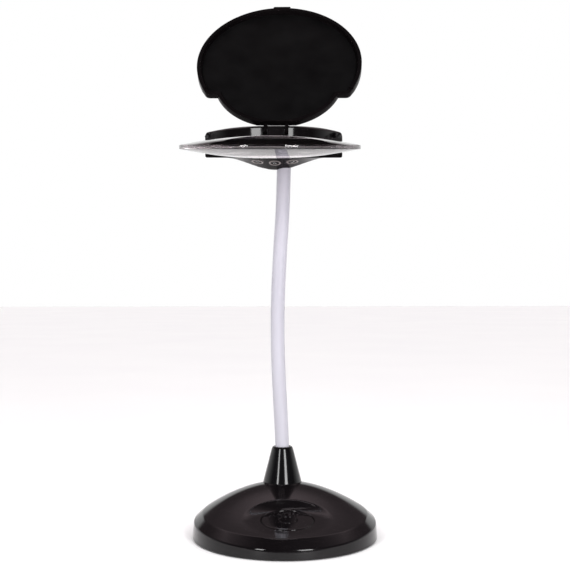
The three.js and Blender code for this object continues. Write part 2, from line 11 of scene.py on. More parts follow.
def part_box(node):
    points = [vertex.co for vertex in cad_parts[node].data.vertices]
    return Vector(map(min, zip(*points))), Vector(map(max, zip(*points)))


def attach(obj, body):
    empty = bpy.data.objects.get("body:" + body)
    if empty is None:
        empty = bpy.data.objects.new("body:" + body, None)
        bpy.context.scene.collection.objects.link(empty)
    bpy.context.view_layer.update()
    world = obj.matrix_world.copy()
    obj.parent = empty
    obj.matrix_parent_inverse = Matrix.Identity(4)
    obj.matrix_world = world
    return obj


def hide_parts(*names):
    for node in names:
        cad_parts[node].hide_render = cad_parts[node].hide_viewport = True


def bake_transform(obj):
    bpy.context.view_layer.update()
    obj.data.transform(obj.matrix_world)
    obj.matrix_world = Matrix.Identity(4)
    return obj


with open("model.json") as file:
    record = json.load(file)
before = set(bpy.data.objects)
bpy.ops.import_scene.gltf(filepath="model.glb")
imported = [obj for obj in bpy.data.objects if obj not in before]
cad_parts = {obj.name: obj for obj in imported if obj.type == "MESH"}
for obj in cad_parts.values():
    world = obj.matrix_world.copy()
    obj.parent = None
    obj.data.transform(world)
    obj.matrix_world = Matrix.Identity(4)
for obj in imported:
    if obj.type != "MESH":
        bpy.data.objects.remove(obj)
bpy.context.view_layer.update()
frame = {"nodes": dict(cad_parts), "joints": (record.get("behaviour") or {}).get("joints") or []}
MM = 0.001
scene = bpy.context.scene
JOINTS = {j["name"]: j for j in frame["joints"]}


# ------------------------------------------------------------------ camera
CAMERA_DISTANCE = 740.1 * MM    # from the middle of the base
CAMERA_AZIMUTH = math.radians(-3.7)
CAMERA_HEIGHT = 187.6 * MM      # level, about half way up the lamp
LENS_MM = 62.6

cam = bpy.data.objects.new("camera", bpy.data.cameras.new("camera"))
scene.collection.objects.link(cam)
scene.camera = cam
cam.data.lens = LENS_MM
cam.data.sensor_width = 36
cam.location = (CAMERA_DISTANCE * math.sin(CAMERA_AZIMUTH),
                -CAMERA_DISTANCE * math.cos(CAMERA_AZIMUTH), CAMERA_HEIGHT)
cam.rotation_euler = (math.pi / 2, 0, CAMERA_AZIMUTH)


# ------------------------------------------------------------------ mesh helpers
AXIS_RADIUS = 1e-4              # stands for 0, so that a lathe's first ring isn't one point
WELD_DISTANCE = 1e-7
FILLET_SHARE = 0.48             # the most of a side that one fillet takes up


def make_object(name, verts, faces, material, smooth_angle=35):
    """A mesh object from points in metres, smooth-shaded up to the given angle."""
    mesh = bpy.data.meshes.new(name)
    mesh.from_pydata([tuple(v) for v in verts], [], faces)
    mesh.validate()
    work = bmesh.new()
    work.from_mesh(mesh)
    bmesh.ops.remove_doubles(work, verts=work.verts, dist=WELD_DISTANCE)
    bmesh.ops.recalc_face_normals(work, faces=work.faces)
    work.to_mesh(mesh)
    work.free()
    mesh.materials.append(material)
    obj = bpy.data.objects.new(name, mesh)
    scene.collection.objects.link(obj)
    shade(obj, smooth_angle)
    return obj


def shade(obj, angle):
    """Smooth shading, with edges sharper than the angle left sharp."""
    obj.data.shade_smooth()
    obj.data.set_sharp_from_angle(angle=math.radians(angle))


def loops_mesh(name, loops, material, closed=False, smooth_angle=35):
    """Quads between loops of equal length; the first and last are joined when closed, else capped."""
    count = len(loops[0])
    verts = [p for loop in loops for p in loop]
    faces = []
    pairs = len(loops) if closed else len(loops) - 1
    for i in range(pairs):
        a, b = i * count, ((i + 1) % len(loops)) * count
        for k in range(count):
            n = (k + 1) % count
            faces.append((a + k, a + n, b + n, b + k))
    if not closed:
        faces.append(tuple(range(count))[::-1])
        faces.append(tuple(range((len(loops) - 1) * count, len(loops) * count)))
    return make_object(name, verts, faces, material, smooth_angle)


def turned(name, profile, material, sides=96, place=None, closed=False, smooth_angle=35):
    """A lathe about +Z from [radius, z] points in millimetres."""
    place = place or Matrix.Identity(4)
    loops = []
    for radius, z in profile:
        r = max(radius, AXIS_RADIUS)
        loops.append([place @ Vector((r * MM * math.cos(a), r * MM * math.sin(a), z * MM))
                      for a in (2 * math.pi * k / sides for k in range(sides))])
    return loops_mesh(name, loops, material, closed, smooth_angle)


def fillet(before, corner, after, size, steps=4):
    """Points that round the corner of a profile, size millimetres back along each side."""
    b, c, a = (np.array(p, float) for p in (before, corner, after))
    size_b = min(size, FILLET_SHARE * np.linalg.norm(b - c))
    size_a = min(size, FILLET_SHARE * np.linalg.norm(a - c))
    start = c + (b - c) / np.linalg.norm(b - c) * size_b
    end = c + (a - c) / np.linalg.norm(a - c) * size_a
    out = []
    for i in range(steps + 1):
        t = i / steps
        out.append(tuple((1 - t) ** 2 * start + 2 * t * (1 - t) * c + t * t * end))
    return out


def rounded(points, sizes, closed=False, steps=4):
    """A profile with each corner rounded by its own size; 0 keeps it sharp."""
    out = []
    n = len(points)
    for i, (p, size) in enumerate(zip(points, sizes)):
        if size <= 0 or (not closed and i in (0, n - 1)):
            out.append(tuple(p))
        else:
            out += fillet(points[i - 1], p, points[(i + 1) % n], size, steps)
    return out


def boolean(obj, cutter, operation="DIFFERENCE"):
    """Cuts or joins with a helper object, which is then deleted."""
    modifier = obj.modifiers.new("cut", "BOOLEAN")
    modifier.operation = operation
    modifier.solver = "EXACT"
    modifier.object = cutter
    apply_modifiers(obj)
    bpy.data.objects.remove(cutter)


def apply_modifiers(obj):
    """Keeps the result of the modifiers as the object's own mesh."""
    graph = bpy.context.evaluated_depsgraph_get()
    mesh = bpy.data.meshes.new_from_object(obj.evaluated_get(graph))
    obj.modifiers.clear()
    obj.data = mesh


def bevel(obj, width):
    """Rounds the sharp edges; the width is in the mesh's own units."""
    modifier = obj.modifiers.new("edge", "BEVEL")
    modifier.width = width
    modifier.segments = 3
    modifier.limit_method = "ANGLE"
    modifier.angle_limit = math.radians(30)
    modifier.use_clamp_overlap = True
    apply_modifiers(obj)


# ------------------------------------------------------------------ materials
def new_material(name, **sockets):
    """A Principled material; values that are the same all over are set on its own sockets."""
    mat = bpy.data.materials.new(name)
    mat.use_nodes = True
    tree = mat.node_tree
    shader = tree.nodes["Principled BSDF"]
    for key, value in sockets.items():
        shader.inputs[key.replace("_", " ")].default_value = value
    coords = tree.nodes.new("ShaderNodeTexCoord")
    return mat, tree, shader, coords.outputs["Object"]


def noise(tree, coords, scale, detail=4, stretch=(1, 1, 1)):
    """Noise in object space, finer along the axes that are stretched more."""
    mapping = tree.nodes.new("ShaderNodeMapping")
    mapping.inputs["Scale"].default_value = stretch
    tree.links.new(coords, mapping.inputs["Vector"])
    node = tree.nodes.new("ShaderNodeTexNoise")
    node.inputs["Scale"].default_value = scale
    node.inputs["Detail"].default_value = detail
    tree.links.new(mapping.outputs["Vector"], node.inputs["Vector"])
    return node.outputs["Fac"]


def ramp(tree, factor, low, high, start=0.3, end=0.7):
    """A factor turned into a colour between two colours."""
    node = tree.nodes.new("ShaderNodeValToRGB")
    node.color_ramp.elements[0].position = start
    node.color_ramp.elements[1].position = end
    node.color_ramp.elements[0].color = low
    node.color_ramp.elements[1].color = high
    tree.links.new(factor, node.inputs["Fac"])
    return node.outputs["Color"]


def spread(tree, factor, low, high, start=0.3, end=0.7):
    """A factor turned into a number between two numbers."""
    node = tree.nodes.new("ShaderNodeMapRange")
    node.inputs["From Min"].default_value = start
    node.inputs["From Max"].default_value = end
    node.inputs["To Min"].default_value = low
    node.inputs["To Max"].default_value = high
    tree.links.new(factor, node.inputs["Value"])
    return node.outputs["Result"]


def bump(tree, shader, height, strength, distance):
    """Surface relief from a height; the distance is in metres."""
    node = tree.nodes.new("ShaderNodeBump")
    node.inputs["Strength"].default_value = strength
    node.inputs["Distance"].default_value = distance
    tree.links.new(height, node.inputs["Height"])
    tree.links.new(node.outputs["Normal"], shader.inputs["Normal"])


def gloss_black():
    """Polished black ABS with faint orange peel and handling haze."""
    mat, tree, shader, at = new_material("gloss_black_plastic", IOR=1.5,
                                         Specular_IOR_Level=0.3)
    tone = noise(tree, at, 18, 3)
    tree.links.new(ramp(tree, tone, (0.0028, 0.0022, 0.0026, 1), (0.0052, 0.0042, 0.0048, 1)),
                   shader.inputs["Base Color"])
    haze = noise(tree, at, 55, 6, (1, 1, 2.2))
    tree.links.new(spread(tree, haze, 0.055, 0.13), shader.inputs["Roughness"])
    peel = noise(tree, at, 260, 2)
    bump(tree, shader, peel, 0.05, 0.00008)
    return mat


def deep_black():
    """A darker, softer polish, on the underside of the housing and on the lid."""
    mat, tree, shader, at = new_material("deep_black_plastic", IOR=1.16,
                                         Specular_IOR_Level=0.22)
    tree.links.new(ramp(tree, noise(tree, at, 24, 3), (0.0028, 0.0022, 0.0024, 1),
                        (0.005, 0.004, 0.0044, 1)), shader.inputs["Base Color"])
    tree.links.new(spread(tree, noise(tree, at, 140, 5), 0.2, 0.3), shader.inputs["Roughness"])
    bump(tree, shader, noise(tree, at, 600, 2), 0.08, 0.00005)
    return mat


def satin_black():
    """Fine spark-eroded black plastic."""
    mat, tree, shader, at = new_material("satin_black_plastic", IOR=1.5, Specular_IOR_Level=0.08)
    tone = noise(tree, at, 60, 3)
    tree.links.new(ramp(tree, tone, (0.0022, 0.002, 0.0022, 1), (0.0042, 0.004, 0.0042, 1)),
                   shader.inputs["Base Color"])
    tree.links.new(spread(tree, noise(tree, at, 420, 4), 0.3, 0.42), shader.inputs["Roughness"])
    bump(tree, shader, noise(tree, at, 2600, 2), 0.12, 0.00006)
    return mat


def collar_black():
    """Glossy moulded collar, a little softer than the cover, with fine turning marks."""
    mat, tree, shader, at = new_material("collar_black_plastic", IOR=1.5,
                                         Specular_IOR_Level=0.38)
    tone = noise(tree, at, 40, 3)
    tree.links.new(ramp(tree, tone, (0.0028, 0.0026, 0.003, 1), (0.005, 0.0048, 0.0054, 1)),
                   shader.inputs["Base Color"])
    tree.links.new(spread(tree, noise(tree, at, 120, 5, (0.3, 0.3, 6)), 0.08, 0.15),
                   shader.inputs["Roughness"])
    bump(tree, shader, noise(tree, at, 900, 2, (0.2, 0.2, 3)), 0.06, 0.00005)
    return mat


def white_silicone():
    """Satin white silicone sleeve with faint soiling and a soft bloom."""
    mat, tree, shader, at = new_material("white_silicone", IOR=1.42, Subsurface_Weight=0.12,
                                         Subsurface_Scale=0.002, Sheen_Weight=0.1)
    shader.inputs["Subsurface Radius"].default_value = (1.0, 0.9, 0.95)
    tone = noise(tree, at, 22, 5, (1, 1, 0.35))
    tree.links.new(ramp(tree, tone, (0.43, 0.42, 0.475, 1), (0.51, 0.5, 0.555, 1)),
                   shader.inputs["Base Color"])
    tree.links.new(spread(tree, noise(tree, at, 300, 4), 0.34, 0.5), shader.inputs["Roughness"])
    bump(tree, shader, noise(tree, at, 1500, 3), 0.1, 0.00005)
    return mat


def clear_acrylic():
    """Cast acrylic with a rosy tint and the faintest surface haze."""
    mat, tree, shader, at = new_material("clear_acrylic", IOR=1.49, Transmission_Weight=1.0)
    tree.links.new(ramp(tree, noise(tree, at, 9, 2), (0.88, 0.785, 0.82, 1),
                        (0.91, 0.82, 0.85, 1)), shader.inputs["Base Color"])
    tree.links.new(spread(tree, noise(tree, at, 90, 5), 0.0, 0.02), shader.inputs["Roughness"])
    bump(tree, shader, noise(tree, at, 40, 2), 0.02, 0.00005)
    return mat


def metal(name, dark, light, rough, stretch, scale=300, depth=0.00005):
    """Bare metal with drawn or cast grain."""
    mat, tree, shader, at = new_material(name, Metallic=1.0)
    tree.links.new(ramp(tree, noise(tree, at, scale * 0.3, 4, stretch), dark, light),
                   shader.inputs["Base Color"])
    tree.links.new(spread(tree, noise(tree, at, scale, 5, stretch), rough[0], rough[1]),
                   shader.inputs["Roughness"])
    bump(tree, shader, noise(tree, at, scale * 2, 3, stretch), 0.3, depth)
    return mat


def foam_rubber():
    """Black foam rubber with open pores."""
    mat, tree, shader, at = new_material("foam_rubber", Specular_IOR_Level=0.3)
    pores = tree.nodes.new("ShaderNodeTexVoronoi")
    pores.inputs["Scale"].default_value = 1400
    tree.links.new(at, pores.inputs["Vector"])
    tree.links.new(ramp(tree, pores.outputs["Distance"], (0.006, 0.006, 0.006, 1),
                        (0.022, 0.022, 0.023, 1), 0.0, 0.6), shader.inputs["Base Color"])
    tree.links.new(spread(tree, noise(tree, at, 200, 4), 0.75, 0.95), shader.inputs["Roughness"])
    bump(tree, shader, pores.outputs["Distance"], 0.6, 0.0002)
    return mat


def circuit_board():
    """Green solder mask over fine copper tracks."""
    mat, tree, shader, at = new_material("circuit_board", Coat_Weight=0.4, Coat_Roughness=0.15)
    tracks = tree.nodes.new("ShaderNodeTexBrick")
    tracks.inputs["Scale"].default_value = 420
    tracks.inputs["Mortar Size"].default_value = 0.05
    tracks.inputs["Color1"].default_value = (0.012, 0.10, 0.035, 1)
    tracks.inputs["Color2"].default_value = (0.016, 0.13, 0.045, 1)
    tracks.inputs["Mortar"].default_value = (0.03, 0.19, 0.07, 1)
    tree.links.new(at, tracks.inputs["Vector"])
    tree.links.new(tracks.outputs["Color"], shader.inputs["Base Color"])
    tree.links.new(spread(tree, noise(tree, at, 500, 3), 0.3, 0.45), shader.inputs["Roughness"])
    bump(tree, shader, tracks.outputs["Fac"], 0.2, 0.00004)
    return mat


def lamp_dome():
    """Pale phosphor under a clear dome."""
    mat, tree, shader, at = new_material("lamp_dome", IOR=1.5, Coat_Weight=0.6)
    tree.links.new(ramp(tree, noise(tree, at, 900, 3), (0.62, 0.55, 0.34, 1),
                        (0.86, 0.83, 0.7, 1)), shader.inputs["Base Color"])
    tree.links.new(spread(tree, noise(tree, at, 1200, 3), 0.12, 0.25), shader.inputs["Roughness"])
    return mat


def bezel_grey():
    """Warm grey plastic ring, lightly polished."""
    mat, tree, shader, at = new_material("bezel_grey_plastic", IOR=1.5)
    tree.links.new(ramp(tree, noise(tree, at, 300, 3), (0.10, 0.082, 0.08, 1),
                        (0.15, 0.125, 0.12, 1)), shader.inputs["Base Color"])
    tree.links.new(spread(tree, noise(tree, at, 700, 4), 0.16, 0.3), shader.inputs["Roughness"])
    bump(tree, shader, noise(tree, at, 2500, 2), 0.08, 0.00004)
    return mat


GLOSS = gloss_black()
DEEP = deep_black()
SATIN = satin_black()
COLLAR = collar_black()
SILICONE = white_silicone()
ACRYLIC = clear_acrylic()
STEEL = metal("plated_steel", (0.42, 0.43, 0.45, 1), (0.62, 0.63, 0.65, 1), (0.22, 0.4), (1, 1, 1))
ARMOUR = metal("wound_armour", (0.3, 0.3, 0.31, 1), (0.5, 0.5, 0.51, 1), (0.3, 0.5), (0.1, 0.1, 8))
IRON = metal("cast_iron", (0.03, 0.03, 0.032, 1), (0.08, 0.08, 0.085, 1), (0.5, 0.75), (1, 1, 1),
             500, 0.0003)
BRASS = metal("turned_brass", (0.5, 0.33, 0.12, 1), (0.72, 0.52, 0.22, 1), (0.2, 0.35), (1, 8, 1))
FOAM = foam_rubber()
BOARD = circuit_board()
LAMP = lamp_dome()
BEZEL = bezel_grey()

NODE_MATERIALS = {
    "non_slip_pad": FOAM, "lid_buffer_left": FOAM, "lid_buffer_right": FOAM,
    "base_plate": STEEL, "collar_nut": STEEL, "neck_nut": STEEL, "hinge_pin": STEEL,
    "base_weight": IRON, "switch_board": BOARD, "led_board": BOARD,
    "push_switch": SATIN, "power_inlet": SATIN, "inlet_pin": BRASS,
    "led_1": LAMP, "led_2": LAMP, "led_3": LAMP,
}


def finish_cad_nodes():
    """Gives each CAD node that stays visible its material."""
    for node_name, node in frame["nodes"].items():
        finish = NODE_MATERIALS.get(node_name)
        if "screw" in node_name:
            finish = STEEL
        if node_name.endswith("_core"):
            finish = ARMOUR
        if finish:
            node.data.materials.clear()
            node.data.materials.append(finish)


# ------------------------------------------------------------------ base cover
# From here on, sizes in capitals are in millimetres unless a line says otherwise.
WALL = 2.2
BASE_R = 68.6
RIM_R, RIM_Z, RIM_SLOPE = 67.7, 12.7, 0.075
CREASE_R, CREASE_Z, CREASE_SLOPE = 61.4, 18.2, 0.07
CREASE_INSET = 0.9              # the dome's rings end this far inside the crease
DOME_RISE, DOME_SLOPE, DOME_FRONT, DOME_POWER = 11.8, 0.24, 0.0017, 2.27
COVER_BOTTOM = 0.7
BUTTON_R = 18.9
BUTTON_Y, BUTTON_Z = -29, 19
PRESS_AXIS = Vector(JOINTS["button_press"]["axis"])
TILT = math.atan2(PRESS_AXIS.y, -PRESS_AXIS.z)
FLANGE_GAP = 0.75               # room over the button's flange, under the dished cover
DISH_R = BUTTON_R + 0.35
DISH_DEPTH, DISH_SIDE_RUN, DISH_REAR_RUN, DISH_TURN = 14, 38, 7.4, 1.2
DISH_BLEND, DISH_BLEND_REAR = 1.6, 0.5
INLET_HOLE_R = 4.5
INLET_CUT_HALF, INLET_CUT_SHIFT = 10, 6   # the cutter reaches out through the rim, not inwards
AROUND = 240                    # points round the cover
DOME_RINGS, INNER_RINGS = 100, 16


def smooth_min(a, b, k):
    """The smaller of two heights, blended where they differ by less than k."""
    h = max(k - abs(a - b), 0) / k
    return min(a, b) - h * h * k * 0.25


def dome_z(x, y):
    """Height of the dome, which rises towards the rear."""
    height = DOME_RISE + DOME_SLOPE * y + DOME_FRONT * min(0, y) ** 2
    share = math.hypot(x, y) / CREASE_R
    return CREASE_Z + CREASE_SLOPE * y + height * (1 - share ** DOME_POWER)


def dish_z(x, y):
    """Height of the scooped dish round the button, and how squarely the point is behind it, 0 to 1."""
    along = (y - BUTTON_Y) / math.cos(TILT)
    r = math.hypot(x, along)
    rear = max(0.0, along / r)
    run = DISH_REAR_RUN + (DISH_SIDE_RUN - DISH_REAR_RUN) * (1 - rear) ** DISH_TURN
    lift = DISH_DEPTH * (max(0.0, r - DISH_R) / run) ** 2
    return BUTTON_Z + along * math.sin(TILT) + lift, rear


def cover_z(x, y):
    """Height of the dome with the dish scooped out of it."""
    dish, rear = dish_z(x, y)
    return smooth_min(dome_z(x, y), dish, DISH_BLEND - (DISH_BLEND - DISH_BLEND_REAR) * rear)


def base_cover():
    """Dished dome, crease, rim and inside, as one shell with holes for the button and the inlet."""
    angles = [2 * math.pi * k / AROUND for k in range(AROUND)]

    def morph(t, drop, inner_r):
        """Loop between the button hole, at 0, and the crease, at 1, dropped below the top face."""
        loop = []
        for a in angles:
            r = inner_r * (1 - t) + (CREASE_R - CREASE_INSET) * t
            x, y = r * math.cos(a), r * math.sin(a) + BUTTON_Y * (1 - t)
            loop.append((x, y, cover_z(x, y) - drop))
        return loop

    def edge_loops(inset):
        """Crease, chamfer, rim and lower edge, rounded in each radial section."""
        sections = []
        for a in angles:
            s = math.sin(a)
            crease = (CREASE_R - inset, CREASE_Z + CREASE_SLOPE * CREASE_R * s - inset)
            last_r = CREASE_R - CREASE_INSET
            inside = (last_r, cover_z(last_r * math.cos(a), last_r * s) - inset)
            rim = (RIM_R - inset, RIM_Z + RIM_SLOPE * RIM_R * s - inset * 0.6)
            foot = (BASE_R - inset, COVER_BOTTOM)
            section = fillet(inside, crease, rim, 1.0, 4)
            section += fillet(crease, rim, foot, 0.8, 6)
            if inset:
                section.append(foot)
            else:
                section += fillet(rim, foot, (BASE_R - WALL, COVER_BOTTOM), 0.5, 3)
            sections.append(section)
        return [[(sec[i][0] * math.cos(a), sec[i][0] * math.sin(a), sec[i][1])
                 for sec, a in zip(sections, angles)] for i in range(len(sections[0]))]

    outer = [morph(0, WALL, DISH_R), morph(0, 0.35, DISH_R), morph(0.001, 0.1, DISH_R + 0.08)]
    outer += [morph(i / DOME_RINGS, 0, DISH_R + 0.3) for i in range(1, DOME_RINGS + 1)]
    outer += edge_loops(0)
    inner = edge_loops(WALL)[::-1]
    inner += [morph(i / INNER_RINGS, WALL, DISH_R) for i in range(INNER_RINGS - 1, 0, -1)]
    loops = [[(x * MM, y * MM, z * MM) for x, y, z in loop] for loop in outer + inner]
    obj = loops_mesh("base_cover_skin", loops, GLOSS, closed=True, smooth_angle=50)
    low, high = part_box("power_inlet")
    middle = (low + high) / 2
    hole = turned("inlet_hole", [(INLET_HOLE_R, -INLET_CUT_HALF), (INLET_HOLE_R, INLET_CUT_HALF)],
                  GLOSS, 48, Matrix.Translation((0, middle.y + INLET_CUT_SHIFT * MM, middle.z))
                  @ Matrix.Rotation(math.pi / 2, 4, "X"))
    boolean(obj, hole)
    shade(obj, 50)
    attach(obj, "base")
    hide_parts("base_cover")


def power_button():
    """Flat cap with a rounded edge, a ring mark cut in the middle, and a flange below."""
    place = (Matrix.Translation((0, BUTTON_Y * MM, BUTTON_Z * MM))
             @ Matrix.Rotation(TILT, 4, "X"))
    under = -WALL - FLANGE_GAP
    profile = [(0, 0), (3, 0.0), (5.6, 0.0)]
    profile += rounded([(5.6, 0), (5.95, 0), (6.1, -0.35), (6.6, -0.35), (6.75, 0), (8, 0)],
                       [0, 0.12, 0.12, 0.12, 0.12, 0], steps=2)[1:]
    profile += [(12, -0.02), (15.5, -0.05)]
    profile += rounded([(15.5, -0.05), (BUTTON_R, -0.12), (BUTTON_R, under)], [0, 0.8, 0],
                       steps=5)[1:]
    profile += [(BUTTON_R + 1.5, under), (BUTTON_R + 1.5, under - 1.2),
                (BUTTON_R - 2, under - 1.2), (BUTTON_R - 2, -2), (3, -2), (3, -3.4), (0, -3.4)]
    obj = turned("power_button_cap", profile, GLOSS, 128, place, smooth_angle=40)
    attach(obj, "button")
    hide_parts("power_button")


NECK_Y = 31.6
COLLAR_BORE, COLLAR_FOOT_R, COLLAR_FOOT_Z = 5.8, 15.0, 30
COLLAR_GAP = 0.1                # between the collar's foot and the dome


def neck_collar():
    """Cone whose foot follows the dome it stands on."""
    low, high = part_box("neck_collar")
    top = high.z / MM
    points = [(COLLAR_BORE, top - 12), (COLLAR_BORE, top - 0.4), (6.3, top), (7.5, top - 0.1),
              (8.35, top - 1.9), (COLLAR_FOOT_R - 0.35, top - 26.3), (COLLAR_FOOT_R, top - 28.5),
              (COLLAR_FOOT_R, COLLAR_FOOT_Z), (COLLAR_BORE, COLLAR_FOOT_Z)]
    profile = rounded(points, [0, 0.3, 0.3, 0.7, 1.0, 0.4, 0, 0, 0], closed=True, steps=4)
    place = Matrix.Translation(((low.x + high.x) / 2, NECK_Y * MM, 0))
    obj = turned("neck_collar_turned", profile, COLLAR, 128, place, closed=True, smooth_angle=40)
    for vertex in obj.data.vertices:
        p = vertex.co / MM
        vertex.co.z = max(p.z, dome_z(p.x, p.y) + COLLAR_GAP) * MM
    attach(obj, "base")
    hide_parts("neck_collar")


# ------------------------------------------------------------------ neck sleeve
SLEEVE_R, SLEEVE_BORE = 5.4, 3.3
SLEEVE_TOP_SHIFT = 0.5          # sideways, from the middle of the last length of CAD sleeve
SLEEVE_SAMPLES = 12             # rings from one pivot to the next


def smooth_path(points, samples):
    """Catmull-Rom curve through the points, with this many samples from one to the next."""
    pts = [2 * points[0] - points[1], *points, 2 * points[-1] - points[-2]]
    out = []
    for i in range(1, len(pts) - 2):
        p0, p1, p2, p3 = pts[i - 1:i + 3]
        is_last = i == len(pts) - 3
        for k in range(samples + is_last):
            t = k / samples
            out.append(0.5 * (2 * p1 + (p2 - p0) * t + (2 * p0 - 5 * p1 + 4 * p2 - p3) * t * t
                              + (3 * p1 - p0 - 3 * p2 + p3) * t ** 3))
    return out


def tube(name, path, material, sides=48):
    """Sleeve along a path: the loops of its outside, then those of its bore back to the start."""
    loops = []
    for radius, route in ((SLEEVE_R, path), (SLEEVE_BORE, path[::-1])):
        for i, p in enumerate(route):
            ahead = route[min(i + 1, len(route) - 1)] - route[max(i - 1, 0)]
            if radius == SLEEVE_BORE:
                ahead = -ahead
            side = Vector((1, 0, 0)) - ahead * ahead.x / ahead.length_squared
            side.normalize()
            other = ahead.normalized().cross(side)
            loops.append([p + (side * math.cos(a) + other * math.sin(a)) * radius * MM
                          for a in (2 * math.pi * k / sides for k in range(sides))])
    return loops_mesh(name, loops, material, closed=True, smooth_angle=50)


def neck_sleeve():
    """One length of sleeve for each bend, from the middle of one link to the middle of the next."""
    names = [f"neck_bend_{i}" for i in range(1, 7)]
    pivots = [Vector(JOINTS[n]["pos_m"]) for n in names]
    root_low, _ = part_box("neck_root_sleeve")
    end_low, end_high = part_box("neck_end_sleeve")
    foot = Vector((0, NECK_Y * MM, root_low.z))
    top = pivots[-1] + (pivots[-1] - pivots[-2]).normalized() * (end_high.z - pivots[-1].z)
    top.x = (end_low.x + end_high.x) / 2 + SLEEVE_TOP_SHIFT * MM
    top.y = (end_low.y + end_high.y) / 2
    path = smooth_path([foot, *pivots, top], SLEEVE_SAMPLES)
    for i, name in enumerate(names):
        at_pivot = SLEEVE_SAMPLES * (i + 1)
        start = 0 if i == 0 else at_pivot - SLEEVE_SAMPLES // 2
        stop = len(path) - 1 if i == len(names) - 1 else at_pivot + SLEEVE_SAMPLES // 2
        piece = tube(f"neck_sleeve_{i + 1}", path[start:stop + 1], SILICONE)
        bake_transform(piece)
        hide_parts("neck_root_sleeve" if i == 0 else f"neck_{i}_sleeve")
        if i == len(names) - 1:
            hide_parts("neck_end_sleeve")


# ------------------------------------------------------------------ head frame
LENS_R, LENS_EDGE, LENS_SAG = 63.5, 2.8, 6.7
SHELL_Y, SHELL_R, SHELL_FRONT = 28.2, 52.4, 39.2
SHELL_TOP, SHELL_TOP_REAR, SHELL_BOTTOM = 10.7, 16.9, -7.9
WELL_Y, WELL_R, WELL_FLOOR = 15.6, 52.4, 6.5
VIEW_R = 58.0                   # the housing's inner edge, round the part of the lens left in view
BROW_R, BROW_Y = 103.7, 49.0    # the front edge of the underside
BROW_CENTRE_Y = BROW_Y - BROW_R
PARTING = 0.15                  # from each half of the housing to the plane where they meet
SEAT_TOP, SEAT_LOW, SEAT_RUN = 3.2, 2.1, 6.3   # the step that the lens's edge lies under
SEAT_GAP = 0.5
POD_DEPTH, POD_HALF_WIDTH, POD_LOW_Y, POD_BACK_RUN = 9.6, 42, 69.6, 18
POD_SLOPE = math.tan(math.radians(23.4))
LED_Y, LED_PITCH = 57.1, 13.3
HINGE_Y, HINGE_Z = 71.2, 12.6
ARM_X, ARM_WIDTH = 8.2, 2.5     # the lid's two arms
SLOT_WIDTH, SLOT_FRONT, SLOT_BACK, SLOT_FLOOR, SLOT_TOP = 3.3, 62, 76.8, 8.9, 22
STATIONS, END_SHARE = 161, 0.018   # sections round the crescent, and the share that each end takes


def head_matrix():
    """The head's frame, from the lens's centre and the lid hinge."""
    low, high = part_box("lens")
    centre = (low + high) / 2
    hinge = JOINTS["lid_hinge"]
    x_axis = Vector(hinge["axis"]).normalized()
    out = Vector(hinge["pos_m"]) - centre
    out -= x_axis * out.dot(x_axis)
    turn = math.atan2(HINGE_Z, HINGE_Y)
    out.normalize()
    side = x_axis.cross(out)
    y_axis = out * math.cos(turn) - side * math.sin(turn)
    z_axis = x_axis.cross(y_axis)
    rotation = Matrix((x_axis, y_axis, z_axis)).transposed()
    return Matrix.Translation(centre) @ rotation.to_4x4()


HEAD = head_matrix()


def to_head(loops):
    """Loops in the head's millimetres, moved to where the head is."""
    return [[HEAD @ Vector((x * MM, y * MM, z * MM)) for x, y, z in loop] for loop in loops]


def lens():
    """Biconvex disc with a narrow flat edge."""
    steps = 36
    half = []
    for i in range(steps + 1):
        r = (LENS_R - 0.25) * math.sin(math.pi / 2 * i / steps)
        half.append((r, LENS_EDGE / 2 + LENS_SAG * (1 - (r / LENS_R) ** 2)))
    edge = [(LENS_R - 0.05, LENS_EDGE / 2 - 0.15), (LENS_R, LENS_EDGE / 2 - 0.4)]
    profile = [(r, -z) for r, z in half + edge] + (half + edge)[::-1]
    obj = turned("lens_disc", profile, ACRYLIC, 192, HEAD, smooth_angle=40)
    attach(obj, "head")
    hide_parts("lens")


def reach(angle, centre_y, radius):
    """Distance from the middle of the shell's front line to a circle, along one direction."""
    offset = SHELL_FRONT - centre_y
    s = math.sin(angle)
    return -offset * s + math.sqrt(radius ** 2 - (offset * math.cos(angle)) ** 2)


def top_z(y):
    """Height of the housing's top face, which rises towards the rear."""
    share = (y - SHELL_FRONT) / (SHELL_Y + SHELL_R - SHELL_FRONT)
    return SHELL_TOP + (SHELL_TOP_REAR - SHELL_TOP) * share


def swept_shell(name, section, material):
    """Sweeps a section round the crescent; the end sections are pulled in to round the ends."""
    ends = [(0.0, 0.55), (0.004, 0.2), (0.010, 0.05)]
    middle = [(END_SHARE + (1 - 2 * END_SHARE) * i / (STATIONS - 1), 0.0) for i in range(STATIONS)]
    far_ends = [(1 - share, pull) for share, pull in ends[::-1]]
    loops = []
    for share, pull in ends + middle + far_ends:
        angle = math.pi * share
        loops.append([(r * math.cos(angle), SHELL_FRONT + r * math.sin(angle), z)
                      for r, z in section(angle, pull)])
    return loops_mesh(name, to_head(loops), material, smooth_angle=40)


